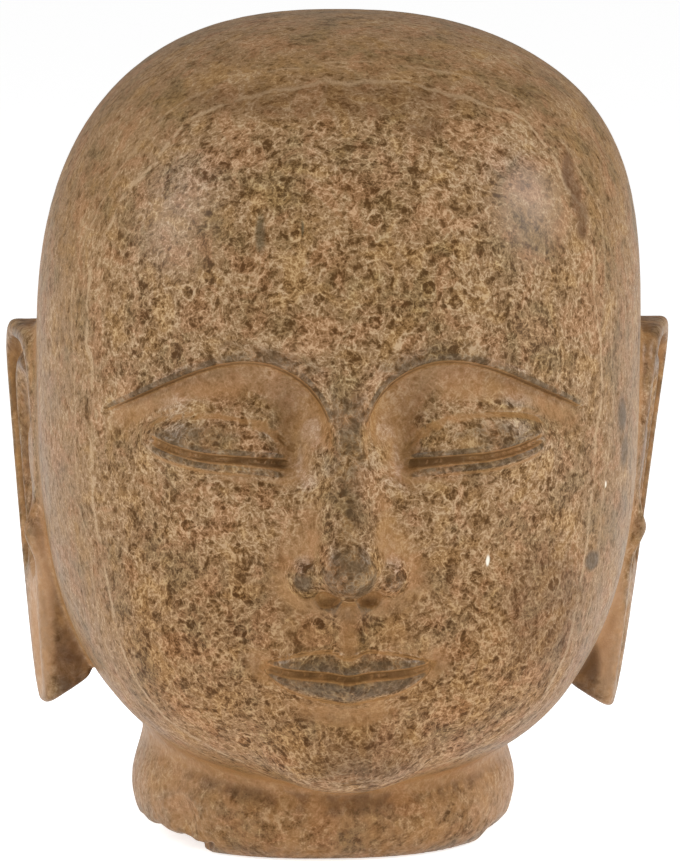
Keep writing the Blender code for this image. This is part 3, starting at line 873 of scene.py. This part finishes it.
def stoneFields(start):  # the masks and patterns that the stone is mixed from
    g = stoneGrain
    place = start.make("ShaderNodeTexCoord", output="Object")
    spot = withVectors("SCALE", {0: place, "Scale": 1000.0})  # millimetres
    values = {"Vector": spot, "Scale": 1 / g["warpSize"], "Detail": 1.0}
    wander = start.make("ShaderNodeTexNoise", None, values, "Color")
    warped = withVectors("MULTIPLY_ADD", {0: wander, 1: (g["warp"],) * 3, 2: spot})
    bed = withVectors("MULTIPLY", {0: warped, 1: (1.0, g["bedding"], 1.0)})
    f = SimpleNamespace(spot=spot, warped=warped, bed=bed)
    for name in ("recess", "ridge", "edge", "plain"):
        setattr(f, name, start.make("ShaderNodeAttribute", {"attribute_name": name}, output="Fac"))
    f.patches = cloud(spot, *g["patches"])
    f.clumps = cloud(bed, *g["clumps"])
    f.blots = cloud(bed, *g["blots"])
    f.spots = cloud(bed, *g["spots"])
    f.grain = cloud(bed, *g["grain"])
    f.depth = axisOf(warped, "Y") + cloud(spot, *g["broad"]) * g["frontWander"] - g["frontShift"]
    f.front = (1 - f.depth.rise(g["frontTo"], g["frontFrom"])) * (1 - f.plain * g["frontOnPlain"])
    ravine = (f.ridge + (f.clumps - 0.5) * g["ravineWander"]).rise(*g["ravine"])
    f.hollow = f.recess.rise(*g["hollow"]).larger(1 - ravine)
    f.polish = marks(spot, polishedSpots)
    f.strength = (f.front * g["frontStrength"] + g["strength"]) * (1 - f.hollow * g["hollowFading"])
    f.strength = f.strength * (1 - f.polish * g["polishFading"])
    return f


def tubeRings(f):  # pale rings round dark bores, where tubes end at the surface
    g = stoneGrain
    tubes = withVectors("MULTIPLY", {0: f.warped, 1: (1.0, 1 / g["tubeLength"], 1.0)})
    values = {"Vector": tubes, "Scale": 1 / g["tubeSize"], "Randomness": 1.0}
    away = tubes.make("ShaderNodeTexVoronoi", {"feature": "F1"}, values) + (f.spots - 0.5) * g["tubeWander"]
    tint = tubes.make("ShaderNodeTexVoronoi", {"feature": "F1"}, values, "Color")
    shown = tint.make("ShaderNodeSeparateColor", None, {0: tint}).rise(*g["tubesShown"])
    pale, dark = (
        (1 - abs(away - middle).rise(flat, edge)) * strength
        for middle, flat, edge, strength in (g["paleRing"], g["darkRing"])
    )
    return (pale - dark) * (shown * f.front)


def stoneTone(f):  # how pale the stone is
    g = stoneGrain
    web = (f.spots - 0.5) * g["spotShare"] + (f.blots - 0.5) * g["blotShare"]
    web = web - (f.clumps - 0.5) * g["clumpShare"]
    rimAt, rimHalf = g["webRim"]
    for size, rim, core in g["web"]:  # dark spots, each with a pale rim
        field = cloud(f.bed, size, 1.0, 0.5, g["webTwist"])
        web = web + (1 - abs(field - rimAt).rise(0.0, rimHalf)) * rim - field.rise(*g["webCore"]) * core
    loops = wanderingLines(f.spot, *g["loops"]) * f.plain * f.clumps.rise(*g["broken"])
    curls = wanderingLines(f.bed, *g["curls"]) * f.spots.rise(*g["broken"]) * f.strength
    tone = g["tone"] + web * f.strength + tubeRings(f)
    tone = tone + (f.grain - 0.5) * (g["grainContrast"] + f.front * g["grainOnFront"])
    tone = tone - curls * g["curlDark"] + loops * g["loopLight"]
    tone = tone + (f.blots - 0.5) * f.plain * g["plainBlots"]
    return tone - (f.patches - 0.5) * g["patchDark"] + f.hollow * g["hollowLight"]


stoneTints = {
    "dark": (0.070, 0.031, 0.007, 1.0),
    "brown": (0.124, 0.064, 0.021, 1.0),
    "tan": (0.240, 0.137, 0.060, 1.0),
    "pale": (0.410, 0.280, 0.158, 1.0),
    "steps": (("brown", 0.00, 0.34), ("tan", 0.22, 0.62), ("pale", 0.56, 1.00)),  # from dark, by tone
    "gold": (1.05, 0.99, 0.78, 1.0),  # gold, rose and moss are thin glazes
    "rose": (1.10, 0.94, 0.88, 1.0),
    "moss": (0.92, 1.00, 0.90, 1.0),
    "glazeCloud": (17.0, 3.0, 0.6, 0.5),
    "goldWhere": (0.36, 0.49),
    "goldStrength": 0.75,
    "roseWhere": (0.50, 0.62),
    "roseStrength": 0.6,
    "mossWhere": (0.52, 0.66),
    "mossStrength": 0.65,
    "earth": (0.96, 0.87, 0.72, 1.0),  # a glaze on the lower front
    "earthHeights": (90.0, 230.0),
    "earthWidths": (86.0, 136.0),
    "earthOffEars": 44.0,
    "seams": ((-93.0, 1.4, 0.7), (-82.0, 1.1, 0.4)),  # depth, width and strength of thin pale layers
    "seamWander": (6.0, 2.0),
    "seamCore": 0.2,
    "seamClumps": (0.36, 0.50),
    "seamGrain": (0.2, 0.5),
}


def stoneColour(f, tone):
    t = stoneTints
    colour = t["dark"]
    for name, low, high in t["steps"]:
        colour = lay(colour, tone.rise(low, high), t[name])
    glaze = cloud(f.spot, *t["glazeCloud"])
    colour = lay(colour, glaze.rise(*t["roseWhere"]) * t["roseStrength"], t["rose"], "MULTIPLY")
    colour = lay(colour, (1 - glaze.rise(*t["goldWhere"])) * t["goldStrength"], t["gold"], "MULTIPLY")
    colour = lay(colour, f.patches.rise(*t["mossWhere"]) * t["mossStrength"], t["moss"], "MULTIPLY")
    across = abs(axisOf(f.spot, "X")) + f.plain * t["earthOffEars"]
    low = 1 - axisOf(f.spot, "Z").rise(*t["earthHeights"])
    colour = lay(colour, low * (1 - across.rise(*t["earthWidths"])), t["earth"], "MULTIPLY")
    patchWander, spotWander = t["seamWander"]
    layer = f.depth + (f.patches - 0.5) * patchWander + (f.spots - 0.5) * spotWander
    for depth, width, strength in t["seams"]:
        seam = 1 - abs(layer - depth).rise(width * t["seamCore"], width)
        seam = seam * f.clumps.rise(*t["seamClumps"]) * (1 - f.plain)
        colour = lay(colour, seam * strength * f.grain.rise(*t["seamGrain"]), t["pale"])
    return colour


stoneWear = {
    "ochre": (0.330, 0.162, 0.056, 1.0),
    "umber": (0.095, 0.043, 0.015, 1.0),
    # the tan of the painted light on the lobes and the sides of the neck
    "skin": (0.42, 0.238, 0.120, 1.0),
    "slate": (0.072, 0.046, 0.022, 1.0),
    "smudge": (0.048, 0.038, 0.016, 1.0),
    "chip": (0.80, 0.74, 0.62, 1.0),
    "hollowRust": 0.42,
    "plainRust": 0.35,
    # umber in the recesses of the ears and neck: partly dirt, partly painted shade under the jaw
    "grimeAndShade": 0.5,
    "grimeAndShadeRecess": (0.03, 0.24),
    "grimeAndShadePatches": (0.8, 1.1),
    "mottle": (0.35, 0.8),  # the least, and what the clumps add to it
    "ridges": (0.09, 0.25),
    "edges": (0.10, 0.24),
    "plainWorn": 0.6,
    "wornMix": (0.5, 0.3, 0.2),
    "wornWhere": (0.36, 0.56),
    "worn": 0.72,
    # painted shade: the deepest recesses darkened
    "deepest": (0.50, 0.85),
    "shadeDarkness": 0.65,
    "smudgeGrain": (0.6, 0.6),
    "darkGrain": (0.7, 0.5),
}


def weathered(f, colour):  # rust, dirt mixed with painted shade, painted light on the lobes and neck, painted shade and stains on the ears, dark shades on the head, rubbed edges, painted shade in the deepest recesses, and the marks
    w = stoneWear
    rust = f.plain * (1 - f.clumps.rise(*stoneGrain["broken"])) * w["plainRust"]
    colour = lay(colour, (f.hollow * w["hollowRust"]).larger(rust), w["ochre"])
    # umber in the recesses of the ears and neck: partly dirt, partly painted shade under the jaw
    grimeAndShade = f.plain * f.recess.rise(*w["grimeAndShadeRecess"]) * (f.patches + f.clumps).rise(*w["grimeAndShadePatches"])
    colour = lay(colour, grimeAndShade * w["grimeAndShade"], w["umber"])
    least, more = w["mottle"]
    mottle = least + f.clumps * more
    # painted light: a pale tan laid on the lobes' outer bands and the sides of the neck
    colour = lay(colour, marks(f.warped, skinLights) * mottle * f.plain, w["skin"])
    # painted shade inside the lobes and dark stains on the upper ears, in umber
    colour = lay(colour, marks(f.warped, lobeShadeAndEarStains) * mottle * f.plain, w["umber"])
    colour = lay(colour, marks(f.warped, headShades) * mottle, w["umber"])
    handled = f.ridge.rise(*w["ridges"]).larger(f.edge.rise(*w["edges"])) * (1 - f.plain * w["plainWorn"])
    clumps, grain, spots = w["wornMix"]
    worn = handled * (f.clumps * clumps + f.grain * grain + f.spots * spots).rise(*w["wornWhere"])
    colour = lay(colour, worn * w["worn"], w["slate"])
    # painted shade: the deepest recesses darkened
    colour = lay(colour, f.recess.rise(*w["deepest"]) * w["shadeDarkness"], stoneTints["dark"])
    least, more = w["smudgeGrain"]
    colour = lay(colour, marks(f.warped, smudges) * (least + f.grain * more), w["smudge"])
    least, more = w["darkGrain"]
    colour = lay(colour, marks(f.warped, darkMarks) * (least + f.grain * more), w["slate"])
    return lay(colour, marks(f.warped, whiteMarks), w["chip"])


stoneGloss = {
    "roughness": 0.62,
    "paleSmoother": 0.10,
    "recessRougher": 0.15,
    "wax": 0.45,
    "waxTone": 0.6,
    "waxWhere": (0.55, 1.05),
    "polish": 0.38,
    "waxLost": (0.1, 0.5),
    "waxRoughness": 0.33,
    "specular": 0.12,
    "relief": (0.9, 0.5, 0.5),  # shares of the spots, the blots and the grain
    "bump": 0.5,
    "bumpDepth": 0.0005,
}


def stoneMaterial():
    print("mixing the stone")
    s = stoneGloss
    material = bpy.data.materials.new("weatheredStone")
    material.use_nodes = True
    tree = material.node_tree
    f = stoneFields(Wire(tree))
    tone = stoneTone(f)
    wax = (tone * s["waxTone"] + f.patches).rise(*s["waxWhere"]) * s["wax"]
    wax = wax.larger(f.polish * s["polish"]) * (1 - f.recess.rise(*s["waxLost"]))
    spots, blots, grain = s["relief"]
    relief = f.spots * spots + f.blots * blots + f.grain * grain
    bump = {"Strength": s["bump"], "Distance": s["bumpDepth"], "Height": relief}
    finish = {
        "Base Color": weathered(f, stoneColour(f, tone)),
        "Roughness": s["roughness"] - tone * s["paleSmoother"] + f.recess * s["recessRougher"],
        "Coat Weight": wax,
        "Normal": relief.make("ShaderNodeBump", None, bump),
    }
    shader = tree.nodes["Principled BSDF"]
    for name, wire in finish.items():
        tree.links.new(wire.socket, shader.inputs[name])
    shader.inputs["Coat Roughness"].default_value = s["waxRoughness"]
    shader.inputs["Specular IOR Level"].default_value = s["specular"]
    return material


studio = {
    "world": 0.34,
    "floorRadius": 14.0,
    "floor": (0.86, 0.86, 0.86, 1.0),
    "floorGlow": 0.80,
    "floorRoughness": 0.9,
    "floorSpecular": 0.1,
    "boxes": (  # azimuth from the front, elevation, distance, width, height, watts
        (-66.0, 30.0, 2.0, 0.8, 1.1, 22.0),
        (68.0, 30.0, 2.0, 0.8, 1.1, 26.0),
        (0.0, 55.0, 2.4, 1.2, 1.0, 5.0),
    ),
    "aim": (0.0, 0.0, 0.2),
}


def direction(azimuth, elevation):
    azimuth, elevation = math.radians(azimuth), math.radians(elevation)
    flat = math.cos(elevation)
    return Vector((math.sin(azimuth) * flat, -math.cos(azimuth) * flat, math.sin(elevation)))


def buildStudio():
    print("setting the studio")
    s = studio
    bpy.ops.mesh.primitive_circle_add(vertices=96, radius=s["floorRadius"], fill_type="NGON")
    floor = bpy.context.object
    floor.name = "paleFloor"
    paint = bpy.data.materials.new("paleFloor")
    paint.use_nodes = True
    shader = paint.node_tree.nodes["Principled BSDF"]
    shader.inputs["Base Color"].default_value = s["floor"]
    shader.inputs["Roughness"].default_value = s["floorRoughness"]
    shader.inputs["Specular IOR Level"].default_value = s["floorSpecular"]
    shader.inputs["Emission Color"].default_value = s["floor"]
    shader.inputs["Emission Strength"].default_value = s["floorGlow"]
    floor.data.materials.append(paint)
    world = bpy.data.worlds.new("softWhite")
    world.use_nodes = True
    world.node_tree.nodes["Background"].inputs["Color"].default_value = (1.0, 1.0, 1.0, 1.0)
    world.node_tree.nodes["Background"].inputs["Strength"].default_value = s["world"]
    bpy.context.scene.world = world
    for index, (azimuth, elevation, distance, width, height, watts) in enumerate(s["boxes"]):
        lamp = bpy.data.lights.new(f"softBox{index}", "AREA")
        lamp.shape = "RECTANGLE"
        lamp.size = width
        lamp.size_y = height
        lamp.energy = watts
        holder = bpy.data.objects.new(lamp.name, lamp)
        toward = direction(azimuth, elevation)
        holder.location = Vector(s["aim"]) + toward * distance
        holder.rotation_euler = toward.to_track_quat("Z", "Y").to_euler()
        bpy.context.scene.collection.objects.link(holder)
    bpy.context.scene.view_settings.view_transform = "Standard"


cameraPlan = {
    "azimuth": -2.0,
    "elevation": 8.5,
    "distance": 2.2,
    "lens": 189.5,
    "sensor": 36.0,
    "clipEnd": 60.0,
    "aim": (-0.0012, 0.0, 0.197),
}


def buildCamera():
    c = cameraPlan
    camera = bpy.data.objects.new("camera", bpy.data.cameras.new("camera"))
    camera.data.lens = c["lens"]
    camera.data.sensor_width = c["sensor"]
    camera.data.clip_end = c["clipEnd"]
    toward = direction(c["azimuth"], c["elevation"])
    camera.location = Vector(c["aim"]) + toward * c["distance"]
    camera.rotation_euler = toward.to_track_quat("Z", "Y").to_euler()
    bpy.context.scene.collection.objects.link(camera)
    bpy.context.scene.camera = camera


buildCamera()
buildStudio()
head = fineBlock(bpy.data.objects["buddha_head"])
weather(head)
placed(head)
head.data.materials.clear()
head.data.materials.append(stoneMaterial())
triangles = sum(len(face.vertices) - 2 for face in head.data.polygons)
print("carved head:", triangles, "triangles")
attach(head, "root")
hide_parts("buddha_head")
